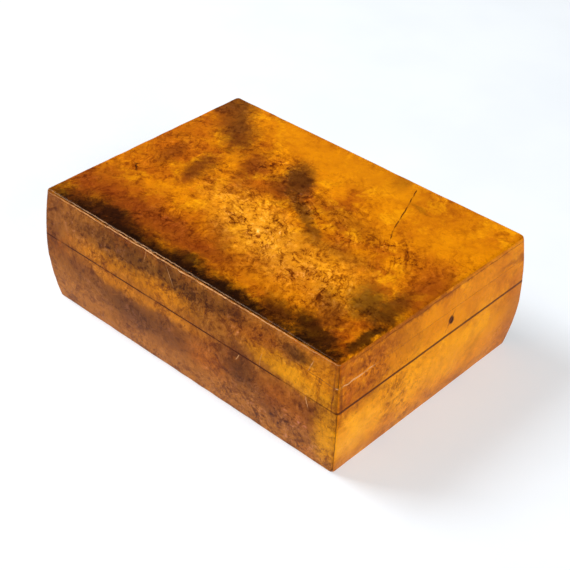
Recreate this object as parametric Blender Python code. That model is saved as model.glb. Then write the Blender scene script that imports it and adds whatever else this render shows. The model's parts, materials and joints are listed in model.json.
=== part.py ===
"""Wooden puzzle box: a hinged burl-wood box with two secret strips, a hidden key and a hidden lock.

Metres, +Z up. The origin is the centre of the underside. X runs along the length, the front is
-Y, the hinges are on the back (+Y) and the ends are at +X (right) and -X (left).

The outside is one swelling block: its plan is widest a little below the lid line and draws in
towards the base and the top. Every wooden piece is a mitred plank that is trimmed to that block.
The right strip slides forward and carries the key. The left strip slides back and bares the
keyhole. The key throws a bolt in the lid through a staple that stands on the box.
"""

import math

import bmesh
import bpy
from mathutils import Vector

MM = 0.001

# The block
LENGTH = 150 * MM
WIDTH = 106 * MM
HEIGHT = 50 * MM
WIDEST_AT = 24 * MM
TOP_INSET = 1.6 * MM
BASE_INSET = 2.8 * MM
TOP_CURVE = 2.0
BASE_CURVE = 1.8
CORNER_RADIUS = 1.4 * MM
TOP_ARRIS = 1.2 * MM
BASE_ARRIS = 0.6 * MM
CORNER_STEPS = 4
ARRIS_STEPS = 3
SIDE_STEPS = 10

# Planks
WALL = 12 * MM
LID_LINE = 30 * MM
STRIP_TOP = 40 * MM
LID_SHEET = 2.2 * MM
BASE_THICK = 5 * MM
BOARD_THICK = 3 * MM
REBATE = 4 * MM
GLUE_GAP = 0.1 * MM
RUN_GAP = 0.3 * MM
OVERHANG = 2 * MM

# Secret strips: x is measured in from the end of the block
STRIP_DEPTH = 9 * MM
STRIP_TRAVEL = 28 * MM
DOVETAIL_FROM_END = 5 * MM
DOVETAIL_HEIGHT = 2.3 * MM
DOVETAIL_NECK = 2.0 * MM
DOVETAIL_TOP = 3.6 * MM
RIGHT_TONGUE_START = -6 * MM
LEFT_TONGUE_START = -34 * MM
LEFT_STRIP_START = -49 * MM
GROOVE_START = -35 * MM
STOP_PIN_RADIUS = 1.2 * MM
STOP_PIN_INTO_STRIP = 2.5 * MM
RIGHT_STOP_Y = -10 * MM
LEFT_STOP_Y = 10 * MM
STRIP_MIDDLE = 35 * MM

# Key, lying in the pocket of the right strip
KEY_BOW_RADIUS = 3.4 * MM
KEY_BOW_HOLE = 1.8 * MM
KEY_BOW_THICK = 1.6 * MM
KEY_SHANK_RADIUS = 1.1 * MM
KEY_BORE = 0.7 * MM
KEY_LENGTH = 25 * MM
KEY_BIT = (0.8 * MM, 2.2 * MM, 2.2 * MM)
KEY_BORE_DEPTH = 6 * MM
KEY_FRONT = -51 * MM
POCKET_DEPTH = 3.1 * MM
POCKET_HALF_HEIGHT = 3.7 * MM
POCKET_ROOM = 0.6 * MM

# Lock, on the inside of the left rail
CASE_Y = (-36.2 * MM, -14.2 * MM)
CASE_Z = (31.3 * MM, 43.3 * MM)
CASE_DEPTH = 5.4 * MM
CASE_WALL = 0.8 * MM
CASE_RIB = 0.4 * MM
STAPLE_DOOR_BEFORE = 1.6 * MM
STAPLE_DOOR_AFTER = 1.2 * MM
STAPLE_DOOR_HEIGHT = 1.6 * MM
TAB_LENGTH = 4.5 * MM
TAB_THICK = 1.0 * MM
TAB_Z = (33.6 * MM, 40.4 * MM)
KEYHOLE_Y = -30 * MM
KEYHOLE_Z = 36.4 * MM
KEYHOLE_RADIUS = 1.5 * MM
KEYHOLE_SLOT = (1.2 * MM, 3.2 * MM)
POST_RADIUS = 0.5 * MM
ESCUTCHEON_RADII = (3.2 * MM, 3.9 * MM)
ESCUTCHEON_THICK = 0.8 * MM
ESCUTCHEON_PIN_RADIUS = 0.35 * MM
ESCUTCHEON_PIN_LENGTH = 2 * MM
ESCUTCHEON_PIN_IN = 0.65 * MM
ESCUTCHEON_DROP = 0.5 * MM
ESCUTCHEON_ROOM = 0.15 * MM
BOLT_Y = (-34.4 * MM, -21.9 * MM)
BOLT_Z = (38.3 * MM, 40.9 * MM)
BOLT_WIDTH = 1.7 * MM
BOLT_FROM_WALL = 1.55 * MM
BOLT_TRAVEL = 3.8 * MM
TALON = (3.0 * MM, 0.95 * MM)
STAPLE_Y = (-20.4 * MM, -18.9 * MM)
STAPLE_TOP = 42.2 * MM
STAPLE_WIDTH = 3.9 * MM
STAPLE_FROM_WALL = 0.4 * MM
LINK_PLATE_Y = (-26.2 * MM, -13.2 * MM)
LINK_PLATE_Z = (18.5 * MM, 29.5 * MM)
LINK_PLATE_THICK = 1.2 * MM
LINK_SCREW_FROM_END = 2.4 * MM
STAPLE_ROOT = 2.4 * MM
SPRING_THICK = 0.3 * MM
SPRING_LIFT = 0.2 * MM
SPRING_FROM_END = 1.6 * MM
SPRING_STEPS = 8

# Hinges: leaf and knuckle sizes, about a pin in the plane of the back
HINGE_X = 45 * MM
HINGE_LENGTH = 22 * MM
HINGE_CENTRE_KNUCKLE = 7.6 * MM
LEAF_WIDTH = 9.5 * MM
LEAF_THICK = 1.2 * MM
KNUCKLE_RADIUS = 1.6 * MM
PIN_RADIUS = 0.8 * MM
PIN_CLEARANCE = 0.1 * MM
KNUCKLE_ROOM = 0.3 * MM
NIB_RADIUS = 2.8 * MM
NIB_ANGLES = (-55.0, -25.0)
MORTISE_ROOM = 0.2 * MM

# Screws: head radius, head height, shank radius
HINGE_SCREW = (1.5 * MM, 0.9 * MM, 0.7 * MM)
HINGE_SCREW_LENGTH = 7 * MM
HINGE_SCREW_X = 7.5 * MM
HINGE_SCREW_FROM_PIN = 6.0 * MM
LOCK_SCREW = (1.2 * MM, 0.7 * MM, 0.6 * MM)
LOCK_SCREW_LENGTH = 3.4 * MM
LINK_SCREW_LENGTH = 7 * MM
LINK_SCREW_DROP = 4 * MM
SCREW_ROOM = 0.15 * MM
SCREW_TIP = 0.4
SCREW_TAPER_FROM = 0.85
SCREW_SINK = 0.05 * MM
DRIVER_SLOT_WIDTH = 0.2
DRIVER_SLOT_DEPTH = 0.3
DRIVER_SLOT_REACH = 1.2
ROUND_STEPS = 20
SCREW_STEPS = 16
KNUCKLE_STEPS = 36

END = LENGTH / 2
SIDE = WIDTH / 2
HALF_GAP = RUN_GAP / 2
LID_BASE = LID_LINE + HALF_GAP
BOX_TOP = LID_LINE - HALF_GAP
SHEET_BASE = HEIGHT - LID_SHEET
RAIL_TOP = SHEET_BASE - GLUE_GAP
BOARD_BASE = RAIL_TOP - BOARD_THICK
CHANNEL_X = END - STRIP_DEPTH - HALF_GAP
CHANNEL_TOP = STRIP_TOP + HALF_GAP
STRIP_INNER_X = END - STRIP_DEPTH + HALF_GAP
WALL_INNER_X = END - WALL
BEYOND = 10 * MM
BITE = 1 * MM

FINISHES = {
    "burl": ((0.42, 0.17, 0.03), 0.35, 0.0),
    "inside_wood": ((0.50, 0.30, 0.13), 0.6, 0.0),
    "brass": ((0.80, 0.58, 0.25), 0.3, 1.0),
    "steel": ((0.45, 0.44, 0.42), 0.35, 1.0),
}


def clear_scene():
    for obj in list(bpy.data.objects):
        bpy.data.objects.remove(obj)


def material(kind, owner):
    """A plain finish for one piece, named after the piece."""
    colour, roughness, metallic = FINISHES[kind]
    made = bpy.data.materials.new(owner + "_" + kind)
    made.use_nodes = True
    shader = made.node_tree.nodes["Principled BSDF"]
    shader.inputs["Base Color"].default_value = (*colour, 1)
    shader.inputs["Roughness"].default_value = roughness
    shader.inputs["Metallic"].default_value = metallic
    return made


def new_object(name, bm):
    bmesh.ops.recalc_face_normals(bm, faces=bm.faces)
    mesh = bpy.data.meshes.new(name)
    bm.to_mesh(mesh)
    bm.free()
    obj = bpy.data.objects.new(name, mesh)
    bpy.context.scene.collection.objects.link(obj)
    return obj


def helper(obj):
    """Marks a cutter, which shapes other pieces and isn't one itself."""
    obj.hide_render = True
    obj.display_type = "WIRE"
    return obj


def loft(name, rings):
    """A closed skin through rings of equally many points, capped at both ends."""
    bm = bmesh.new()
    loops = [[bm.verts.new(p) for p in ring] for ring in rings]
    for lower, upper in zip(loops, loops[1:]):
        for i in range(len(lower)):
            j = (i + 1) % len(lower)
            bm.faces.new((lower[i], lower[j], upper[j], upper[i]))
    bm.faces.new(loops[0])
    bm.faces.new(loops[-1])
    return new_object(name, bm)


def prism(name, outline, axis, low, high):
    """An outline of (u, v) points in the plane across axis, extruded from low to high."""

    def placed(u, v, w):
        return {"X": (w, u, v), "Y": (u, w, v), "Z": (u, v, w)}[axis]

    return loft(name, [[placed(u, v, w) for u, v in outline] for w in (low, high)])


def box(name, low, high):
    (x0, y0, z0), (x1, y1, z1) = low, high
    return prism(name, [(x0, y0), (x1, y0), (x1, y1), (x0, y1)], "Z", z0, z1)


def circle(centre, radius, steps=ROUND_STEPS):
    """Points round a centre. A pair of radii gives an oval."""
    ru, rv = radius if isinstance(radius, tuple) else (radius, radius)
    turns = [2 * math.pi * i / steps for i in range(steps)]
    return [(centre[0] + ru * math.cos(t), centre[1] + rv * math.sin(t)) for t in turns]


def rod(name, centre, radius, axis, low, high):
    return prism(name, circle(centre, radius), axis, low, high)


def combine(obj, others, operation):
    """Adds one Boolean for each other object, and makes those others helpers."""
    for other in others:
        boolean = obj.modifiers.new(other.name, "BOOLEAN")
        boolean.operation = operation
        boolean.object = helper(other)
    return obj


def cut(obj, *cutters):
    return combine(obj, cutters, "DIFFERENCE")


def join(obj, *others):
    return combine(obj, others, "UNION")


def finish(obj, kind, pivot=None):
    """Gives a piece its material, and its parent when it belongs to a moving body."""
    obj.data.materials.append(material(kind, obj.name))
    if pivot is not None:
        obj.parent = pivot
        obj.matrix_parent_inverse = pivot.matrix_world.inverted()
    return obj


def pivot_at(name, place):
    """An empty on a joint's axis, which the pieces of that body hang from."""
    empty = bpy.data.objects.new(name, None)
    empty.location = place
    bpy.context.scene.collection.objects.link(empty)
    bpy.context.view_layer.update()
    return empty


def inset(z):
    """How far the block's side stands in from its widest, at height z."""
    if z > WIDEST_AT:
        return TOP_INSET * ((z - WIDEST_AT) / (HEIGHT - WIDEST_AT)) ** TOP_CURVE
    return BASE_INSET * ((WIDEST_AT - z) / WIDEST_AT) ** BASE_CURVE


def plan_ring(depth, z):
    """The block's plan at height z: a rectangle with round corners, depth in from the widest."""
    ring = []
    quarters = ((1, 1), (-1, 1), (-1, -1), (1, -1))
    for quarter, (sx, sy) in enumerate(quarters):
        cx = sx * (END - depth - CORNER_RADIUS)
        cy = sy * (SIDE - depth - CORNER_RADIUS)
        for step in range(CORNER_STEPS + 1):
            turn = math.radians(90 * (quarter + step / CORNER_STEPS))
            ring.append(
                (
                    cx + CORNER_RADIUS * math.cos(turn),
                    cy + CORNER_RADIUS * math.sin(turn),
                    z,
                )
            )
    return ring


def block():
    """The whole outside of the box as one solid, with its worn arrises."""
    rings = []
    for step in range(ARRIS_STEPS):
        turn = math.radians(90 * step / ARRIS_STEPS)
        depth = inset(BASE_ARRIS) + BASE_ARRIS * (1 - math.sin(turn))
        rings.append(plan_ring(depth, BASE_ARRIS * (1 - math.cos(turn))))
    low, high = BASE_ARRIS, HEIGHT - TOP_ARRIS
    for step in range(SIDE_STEPS + 1):
        z = low + (high - low) * step / SIDE_STEPS
        rings.append(plan_ring(inset(z), z))
    for step in range(1, ARRIS_STEPS + 1):
        turn = math.radians(90 * step / ARRIS_STEPS)
        depth = inset(high) + TOP_ARRIS * (1 - math.cos(turn))
        rings.append(plan_ring(depth, high + TOP_ARRIS * math.sin(turn)))
    return helper(loft("block", rings))


def trimmed(plank, outside):
    """Trims a plank to the outside of the block."""
    shaping = plank.modifiers.new("outside", "BOOLEAN")
    shaping.operation = "INTERSECT"
    shaping.object = outside
    return plank


def mitred_plan(side):
    """Plan of a plank along one side, from OVERHANG outside the block to WALL inside it."""
    half_run = SIDE if side in ("left", "right") else END
    to_face = END if side in ("left", "right") else SIDE
    corners = []
    for run_sign, depth in ((-1, -OVERHANG), (1, -OVERHANG), (1, WALL), (-1, WALL)):
        along = run_sign * (half_run - depth - GLUE_GAP)
        out = to_face - depth
        corners.append(
            {
                "right": (out, along),
                "left": (-out, -along),
                "front": (along, -out),
                "back": (-along, out),
            }[side]
        )
    return corners


def plank(name, side, low, high, outside):
    return trimmed(prism(name, mitred_plan(side), "Z", low, high), outside)


def centred_box(name, half_x, half_y, low, high):
    return box(name, (-half_x, -half_y, low), (half_x, half_y, high))


def dovetail(name, end_sign, room, y_low, y_high):
    """The tongue on top of a strip, or with room its groove: wider above than below."""
    middle = end_sign * (END - DOVETAIL_FROM_END)
    base = STRIP_TOP - BITE if not room else STRIP_TOP - HALF_GAP
    top = STRIP_TOP - HALF_GAP + DOVETAIL_HEIGHT + room
    neck, head = DOVETAIL_NECK / 2 + room, DOVETAIL_TOP / 2 + room
    outline = [
        (middle - neck, base),
        (middle + neck, base),
        (middle + neck, STRIP_TOP - HALF_GAP + room),
        (middle + head, top),
        (middle - head, top),
        (middle - neck, STRIP_TOP - HALF_GAP + room),
    ]
    return prism(name, outline, "Y", y_low, y_high)


def channel(end_sign, tag, start):
    """The room for a strip in the end of the lid, from start to the back, with its groove."""
    xs = sorted((end_sign * CHANNEL_X, end_sign * (END + BEYOND)))
    reach = SIDE + BEYOND
    room = box(
        tag + "_channel",
        (xs[0], start - RUN_GAP, LID_LINE - BEYOND),
        (xs[1], reach, CHANNEL_TOP),
    )
    groove = dovetail(tag + "_groove", end_sign, RUN_GAP, GROOVE_START, reach)
    return room, groove


def strip(name, end_sign, start, tongue_start, outside):
    """A secret strip: the lower half of one end of the lid, hung on a dovetail tongue."""
    xs = sorted((end_sign * STRIP_INNER_X, end_sign * (END + OVERHANG)))
    reach = SIDE + OVERHANG
    bar = box(
        name,
        (xs[0], start, LID_BASE),
        (xs[1], reach, STRIP_TOP - HALF_GAP),
    )
    join(bar, dovetail(name + "_tongue", end_sign, 0, tongue_start, reach))
    return trimmed(bar, outside)


def stop_slot(name, end_sign, pin_y, travel_sign):
    """The slot in a strip's inner face that its stop pin runs in. The pin starts at one end."""
    room = STOP_PIN_RADIUS + RUN_GAP
    ends = sorted((pin_y + travel_sign * room, pin_y - travel_sign * (STRIP_TRAVEL + room)))
    deep = STRIP_INNER_X + STOP_PIN_INTO_STRIP + RUN_GAP
    xs = sorted((end_sign * (STRIP_INNER_X - BITE), end_sign * deep))
    return box(
        name,
        (xs[0], ends[0], STRIP_MIDDLE - room),
        (xs[1], ends[1], STRIP_MIDDLE + room),
    )


def stop_pin(name, end_sign, pin_y, room=0.0):
    """The brass pin in the thin inner skin of an end rail, or with room its hole."""
    xs = sorted(
        (
            end_sign * (WALL_INNER_X + (RUN_GAP if not room else -BITE)),
            end_sign * (STRIP_INNER_X + STOP_PIN_INTO_STRIP),
        )
    )
    return rod(name, (pin_y, STRIP_MIDDLE), STOP_PIN_RADIUS + room, "X", *xs)


def screw_rings(place, along, sizes, length, room=0.0):
    """Rings of a countersunk screw from its tip to its head. along points out of the head."""
    head, height, shank = (size + room for size in sizes)
    axis = Vector(along)
    across = Vector((0, 0, 1)) if abs(axis.z) < 0.5 else Vector((1, 0, 0))
    other = axis.cross(across)
    profile = [
        (-length - room, shank * (1 if room else SCREW_TIP)),
        (-length * SCREW_TAPER_FROM, shank),
        (-height, shank),
        (0, head),
    ]
    if room:
        profile.append((BITE, head))
    rings = []
    for lift, radius in profile:
        ring = []
        for step in range(SCREW_STEPS):
            turn = 2 * math.pi * step / SCREW_STEPS
            swing = across * math.cos(turn) + other * math.sin(turn)
            ring.append(Vector(place) + axis * lift + swing * radius)
        rings.append(ring)
    return rings


def screw(name, place, along, sizes, length, kind, pivot=None):
    """A countersunk screw with a driver slot. Returns the screw and the cutter for its hole."""
    made = loft(name, screw_rings(place, along, sizes, length))
    head = sizes[0]
    axis = Vector(along)
    reach = [head * (DRIVER_SLOT_WIDTH if abs(v) < 0.5 else DRIVER_SLOT_DEPTH) for v in axis]
    widest = 0 if abs(axis.x) < 0.5 else 1
    reach[widest] = head * DRIVER_SLOT_REACH
    low = Vector(place) - Vector(reach)
    high = Vector(place) + Vector(reach)
    cut(made, box(name + "_slot", low, high))
    finish(made, kind, pivot)
    hole = loft(
        name + "_hole",
        screw_rings(place, along, sizes, length, SCREW_ROOM),
    )
    return made, helper(hole)


def knuckle_outline(radius, nib=None):
    """Section of a knuckle about the pin. A nib stands out of it between two angles."""
    start, stop = (nib[1], nib[0] + 360) if nib else (0, 360 - 360 / (KNUCKLE_STEPS + 1))
    steps = range(KNUCKLE_STEPS + 1)
    outline = [(start + (stop - start) * step / KNUCKLE_STEPS, radius) for step in steps]
    if nib:
        outline += [(nib[0], NIB_RADIUS), (nib[1], NIB_RADIUS)]
    return [
        (
            SIDE + r * math.cos(math.radians(turn)),
            LID_LINE + r * math.sin(math.radians(turn)),
        )
        for turn, r in outline
    ]


def hinge_leaf(name, centre_x, upper, pivot=None):
    """One leaf: a plate let into the wood, with its knuckles round the pin."""
    half = HINGE_LENGTH / 2
    split = HINGE_CENTRE_KNUCKLE / 2
    side = 1 if upper else -1
    zs = sorted((LID_LINE + side * HALF_GAP, LID_LINE + side * (HALF_GAP + LEAF_THICK)))
    clear_y = SIDE - KNUCKLE_RADIUS - KNUCKLE_ROOM
    plate = box(
        name,
        (centre_x - half, SIDE - LEAF_WIDTH, zs[0]),
        (centre_x + half, clear_y, zs[1]),
    )
    spans = [(-split, split)] if upper else [
        (-half, -split - RUN_GAP),
        (split + RUN_GAP, half),
    ]
    for number, (low, high) in enumerate(spans):
        tag = f"{name}_{number}"
        neck = box(
            tag + "_neck",
            (centre_x + low, clear_y - BITE, zs[0]),
            (centre_x + high, SIDE, zs[1]),
        )
        outline = knuckle_outline(KNUCKLE_RADIUS, NIB_ANGLES if upper else None)
        knuckle = prism(tag + "_knuckle", outline, "X", centre_x + low, centre_x + high)
        join(plate, neck, knuckle)
    reach = half + BEYOND
    bore = rod(
        name + "_bore",
        (SIDE, LID_LINE),
        PIN_RADIUS + PIN_CLEARANCE,
        "X",
        centre_x - reach,
        centre_x + reach,
    )
    cut(plate, bore)
    return finish(plate, "brass", pivot)


def hinge_cutters(tag, centre_x):
    """What a hinge takes out of the wood: a mortise above and below, and room for knuckles."""
    half = HINGE_LENGTH / 2 + MORTISE_ROOM
    room = HALF_GAP + LEAF_THICK + MORTISE_ROOM
    mortise = box(
        tag + "_mortise",
        (centre_x - half, SIDE - LEAF_WIDTH - MORTISE_ROOM, LID_LINE - room),
        (centre_x + half, SIDE + BEYOND, LID_LINE + room),
    )
    barrel = rod(
        tag + "_barrel",
        (SIDE, LID_LINE),
        KNUCKLE_RADIUS + KNUCKLE_ROOM,
        "X",
        centre_x - half,
        centre_x + half,
    )
    split = HINGE_CENTRE_KNUCKLE / 2 + RUN_GAP
    nib_room = rod(
        tag + "_nib_room",
        (SIDE, LID_LINE),
        NIB_RADIUS + KNUCKLE_ROOM,
        "X",
        centre_x - split,
        centre_x + split,
    )
    return mortise, barrel, nib_room


def hinge(tag, centre_x, lid):
    """A stop hinge. Returns the cutters for the box's wood and for the lid's."""
    hinge_leaf(tag + "_box_leaf", centre_x, False)
    hinge_leaf(tag + "_lid_leaf", centre_x, True, lid)
    half = HINGE_LENGTH / 2
    pin = rod(tag + "_pin", (SIDE, LID_LINE), PIN_RADIUS, "X", centre_x - half, centre_x + half)
    finish(pin, "steel")
    mortise, barrel, nib_room = hinge_cutters(tag, centre_x)
    box_cuts, lid_cuts = [mortise, barrel, nib_room], [mortise, barrel]
    for number, side_sign in enumerate((-1, 1), start=1):
        x = centre_x + side_sign * HINGE_SCREW_X
        y = SIDE - HINGE_SCREW_FROM_PIN
        for part, up, cuts, pivot in (("box", 1, box_cuts, None), ("lid", -1, lid_cuts, lid)):
            place = (x, y, LID_LINE - up * (HALF_GAP + SCREW_SINK))
            _, hole = screw(
                f"{tag}_{part}_screw_{number}",
                place,
                (0, 0, up),
                HINGE_SCREW,
                HINGE_SCREW_LENGTH,
                "brass",
                pivot,
            )
            cut(bpy.data.objects[f"{tag}_{part}_leaf"], hole)
            cuts.append(hole)
    return box_cuts, lid_cuts


def key(strip_pivot):
    """A small pipe key: bow, hollow shank and bit, lying along the right strip."""
    middle_x = STRIP_INNER_X + POCKET_DEPTH / 2
    bow_y = KEY_FRONT + KEY_BOW_RADIUS
    half_bow = KEY_BOW_THICK / 2
    tip = KEY_FRONT + KEY_LENGTH
    bow = rod(
        "key",
        (bow_y, STRIP_MIDDLE),
        KEY_BOW_RADIUS,
        "X",
        middle_x - half_bow,
        middle_x + half_bow,
    )
    shank = rod(
        "key_shank",
        (middle_x, STRIP_MIDDLE),
        KEY_SHANK_RADIUS,
        "Y",
        bow_y + (KEY_BOW_RADIUS + KEY_BOW_HOLE) / 2,
        tip,
    )
    thick, long_, deep = KEY_BIT
    bit = box(
        "key_bit",
        (middle_x - thick / 2, tip - long_ - thick, STRIP_MIDDLE - deep - KEY_SHANK_RADIUS / 2),
        (middle_x + thick / 2, tip - thick, STRIP_MIDDLE - KEY_SHANK_RADIUS / 2),
    )
    join(bow, shank, bit)
    eye = rod(
        "key_eye",
        (bow_y, STRIP_MIDDLE),
        KEY_BOW_HOLE,
        "X",
        middle_x - BEYOND,
        middle_x + BEYOND,
    )
    bore = rod("key_bore", (middle_x, STRIP_MIDDLE), KEY_BORE, "Y", tip - KEY_BORE_DEPTH, tip + BEYOND)
    cut(bow, eye, bore)
    return finish(bow, "brass", strip_pivot)


def key_pocket():
    return box(
        "key_pocket",
        (
            STRIP_INNER_X - BITE,
            KEY_FRONT - POCKET_ROOM,
            STRIP_MIDDLE - POCKET_HALF_HEIGHT,
        ),
        (
            STRIP_INNER_X + POCKET_DEPTH,
            KEY_FRONT + KEY_LENGTH + POCKET_ROOM,
            STRIP_MIDDLE + POCKET_HALF_HEIGHT,
        ),
    )


def keyhole(name, x_low, x_high):
    """The keyhole through the left rail's skin: a round eye above a slot."""
    width, drop = KEYHOLE_SLOT
    eye = rod(name, (KEYHOLE_Y, KEYHOLE_Z), KEYHOLE_RADIUS, "X", x_low, x_high)
    slot = box(
        name + "_slot",
        (x_low, KEYHOLE_Y - width / 2, KEYHOLE_Z - drop),
        (x_high, KEYHOLE_Y + width / 2, KEYHOLE_Z),
    )
    return eye, slot


def escutcheon(lid):
    """A thin brass oval let into the skin round the keyhole, on two pins. Returns wood cutters."""
    face = -CHANNEL_X
    centre = (KEYHOLE_Y, KEYHOLE_Z - ESCUTCHEON_DROP)
    plate = rod(
        "escutcheon",
        centre,
        ESCUTCHEON_RADII,
        "X",
        face + GLUE_GAP / 2,
        face + GLUE_GAP / 2 + ESCUTCHEON_THICK,
    )
    cut(plate, *keyhole("escutcheon_hole", face - BEYOND, face + BEYOND))
    recess = rod(
        "escutcheon_recess",
        centre,
        tuple(r + GLUE_GAP for r in ESCUTCHEON_RADII),
        "X",
        face - BITE,
        face + ESCUTCHEON_THICK + ESCUTCHEON_ROOM,
    )
    cutters = [recess]
    for name, side_sign in (("escutcheon_pin_top", 1), ("escutcheon_pin_bottom", -1)):
        pin_z = centre[1] + side_sign * (ESCUTCHEON_RADII[1] - ESCUTCHEON_PIN_IN)
        centre_at = (KEYHOLE_Y, pin_z)
        end = face + ESCUTCHEON_PIN_LENGTH
        pin = rod(name, centre_at, ESCUTCHEON_PIN_RADIUS, "X", face + GLUE_GAP / 2, end)
        finish(pin, "brass", lid)
        hole = rod(
            name + "_hole",
            centre_at,
            ESCUTCHEON_PIN_RADIUS + GLUE_GAP,
            "X",
            face - BEYOND,
            end + GLUE_GAP,
        )
        cut(plate, hole)
        cutters.append(hole)
    finish(plate, "brass", lid)
    return cutters


def lock_case(lid):
    """The lock's brass case on the inner face of the left rail, open towards the wood."""
    wood = -WALL_INNER_X + HALF_GAP
    face = wood + CASE_DEPTH
    case = box("lock_case", (wood, CASE_Y[0], CASE_Z[0]), (face, CASE_Y[1], CASE_Z[1]))
    hollow = box(
        "lock_hollow",
        (wood - BEYOND, CASE_Y[0] + CASE_WALL, CASE_Z[0] + CASE_WALL),
        (face - CASE_WALL, CASE_Y[1] - CASE_WALL, CASE_Z[1] - CASE_WALL),
    )
    staple_door = box(
        "staple_door",
        (wood - BEYOND, STAPLE_Y[0] - STAPLE_DOOR_BEFORE, CASE_Z[0] - BEYOND),
        (face - CASE_WALL, STAPLE_Y[1] + STAPLE_DOOR_AFTER, CASE_Z[0] + STAPLE_DOOR_HEIGHT),
    )
    cut(case, hollow, staple_door)
    tabs = box(
        "lock_tabs",
        (wood, CASE_Y[0] - TAB_LENGTH, TAB_Z[0]),
        (wood + TAB_THICK, CASE_Y[1] + TAB_LENGTH, TAB_Z[1]),
    )
    tabs_gap = box(
        "lock_tabs_gap",
        (wood - BEYOND, CASE_Y[0] + CASE_RIB, TAB_Z[0] - BEYOND),
        (face, CASE_Y[1] - CASE_RIB, TAB_Z[1] + BEYOND),
    )
    cut(tabs, tabs_gap)
    stud_y = (BOLT_Y[0] + BOLT_Y[1]) / 2 + BOLT_TRAVEL
    stud = rod(
        "bolt_stud",
        (stud_y, sum(BOLT_Z) / 2),
        POST_RADIUS,
        "X",
        wood + BOLT_FROM_WALL - RUN_GAP,
        face - CASE_RIB,
    )
    post = rod(
        "key_post",
        (KEYHOLE_Y, KEYHOLE_Z),
        POST_RADIUS,
        "X",
        wood,
        face - CASE_RIB,
    )
    join(case, tabs, stud, post)
    holes = []
    for number, y in enumerate(
        (CASE_Y[0] - TAB_LENGTH / 2, CASE_Y[1] + TAB_LENGTH / 2), start=1
    ):
        place = (wood + TAB_THICK - GLUE_GAP, y, sum(TAB_Z) / 2)
        _, hole = screw(
            f"lock_screw_{number}", place, (1, 0, 0), LOCK_SCREW, LOCK_SCREW_LENGTH, "brass", lid
        )
        cut(case, hole)
        holes.append(hole)
    finish(case, "brass", lid)
    return holes


def lock_bolt(pivot):
    """The bolt: a bar with a slot that rides on the case's stud and a talon for the key."""
    low_x = -WALL_INNER_X + HALF_GAP + BOLT_FROM_WALL
    bar = box(
        "lock_bolt",
        (low_x, BOLT_Y[0], BOLT_Z[0]),
        (low_x + BOLT_WIDTH, BOLT_Y[1], BOLT_Z[1]),
    )
    middle_z = sum(BOLT_Z) / 2
    stud_y = (BOLT_Y[0] + BOLT_Y[1]) / 2 + BOLT_TRAVEL
    room = POST_RADIUS + RUN_GAP / 2
    slot = box(
        "bolt_slot",
        (low_x - BEYOND, stud_y - BOLT_TRAVEL - room, middle_z - room),
        (low_x + BEYOND, stud_y + room, middle_z + room),
    )
    width, height = TALON
    talon = box(
        "bolt_talon",
        (low_x - BEYOND, KEYHOLE_Y - width / 2 - BOLT_TRAVEL / 2, BOLT_Z[0] - BEYOND),
        (low_x + BEYOND, KEYHOLE_Y + width / 2 - BOLT_TRAVEL / 2, BOLT_Z[0] + height),
    )
    cut(bar, slot, talon)
    return finish(bar, "steel", pivot)


def bolt_spring(lid):
    """A bowed leaf spring between the bolt and the top of the case."""
    low_x = -WALL_INNER_X + HALF_GAP + BOLT_FROM_WALL + RUN_GAP / 2
    top = CASE_Z[1] - CASE_WALL - GLUE_GAP
    sag = top - BOLT_Z[1] - SPRING_THICK - SPRING_LIFT
    y_low, y_high = CASE_Y[0] + SPRING_FROM_END, BOLT_Y[1] - BOLT_TRAVEL
    upper = []
    for step in range(SPRING_STEPS + 1):
        share = step / SPRING_STEPS
        upper.append((y_low + (y_high - y_low) * share, top - sag * math.sin(math.pi * share)))
    lower = [(y, z - SPRING_THICK) for y, z in reversed(upper)]
    width = BOLT_WIDTH - RUN_GAP
    spring = prism("bolt_spring", upper + lower, "X", low_x, low_x + width)
    return finish(spring, "steel", lid)


def link_plate():
    """The plate inside the left wall, with the staple that the bolt shoots through."""
    wood = -WALL_INNER_X + HALF_GAP
    plate = box(
        "link_plate",
        (wood, LINK_PLATE_Y[0], LINK_PLATE_Z[0]),
        (wood + LINK_PLATE_THICK, LINK_PLATE_Y[1], LINK_PLATE_Z[1]),
    )
    staple_x = wood + STAPLE_FROM_WALL - HALF_GAP
    staple = box(
        "staple",
        (staple_x, STAPLE_Y[0], LINK_PLATE_Z[1] - STAPLE_ROOT),
        (staple_x + STAPLE_WIDTH, STAPLE_Y[1], STAPLE_TOP),
    )
    low_x = wood + BOLT_FROM_WALL - RUN_GAP
    eye = box(
        "staple_eye",
        (low_x, STAPLE_Y[0] - BEYOND, BOLT_Z[0] - RUN_GAP),
        (low_x + BOLT_WIDTH + 2 * RUN_GAP, STAPLE_Y[1] + BEYOND, BOLT_Z[1] + RUN_GAP),
    )
    join(plate, staple)
    cut(plate, eye)
    holes = []
    for number, y in enumerate(
        (LINK_PLATE_Y[0] + LINK_SCREW_FROM_END, LINK_PLATE_Y[1] - LINK_SCREW_FROM_END), start=1
    ):
        place = (wood + LINK_PLATE_THICK - GLUE_GAP, y, LINK_PLATE_Z[0] + LINK_SCREW_DROP)
        _, hole = screw(
            f"link_screw_{number}", place, (1, 0, 0), LOCK_SCREW, LINK_SCREW_LENGTH, "brass"
        )
        cut(plate, hole)
        holes.append(hole)
    finish(plate, "brass")
    return holes


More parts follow.
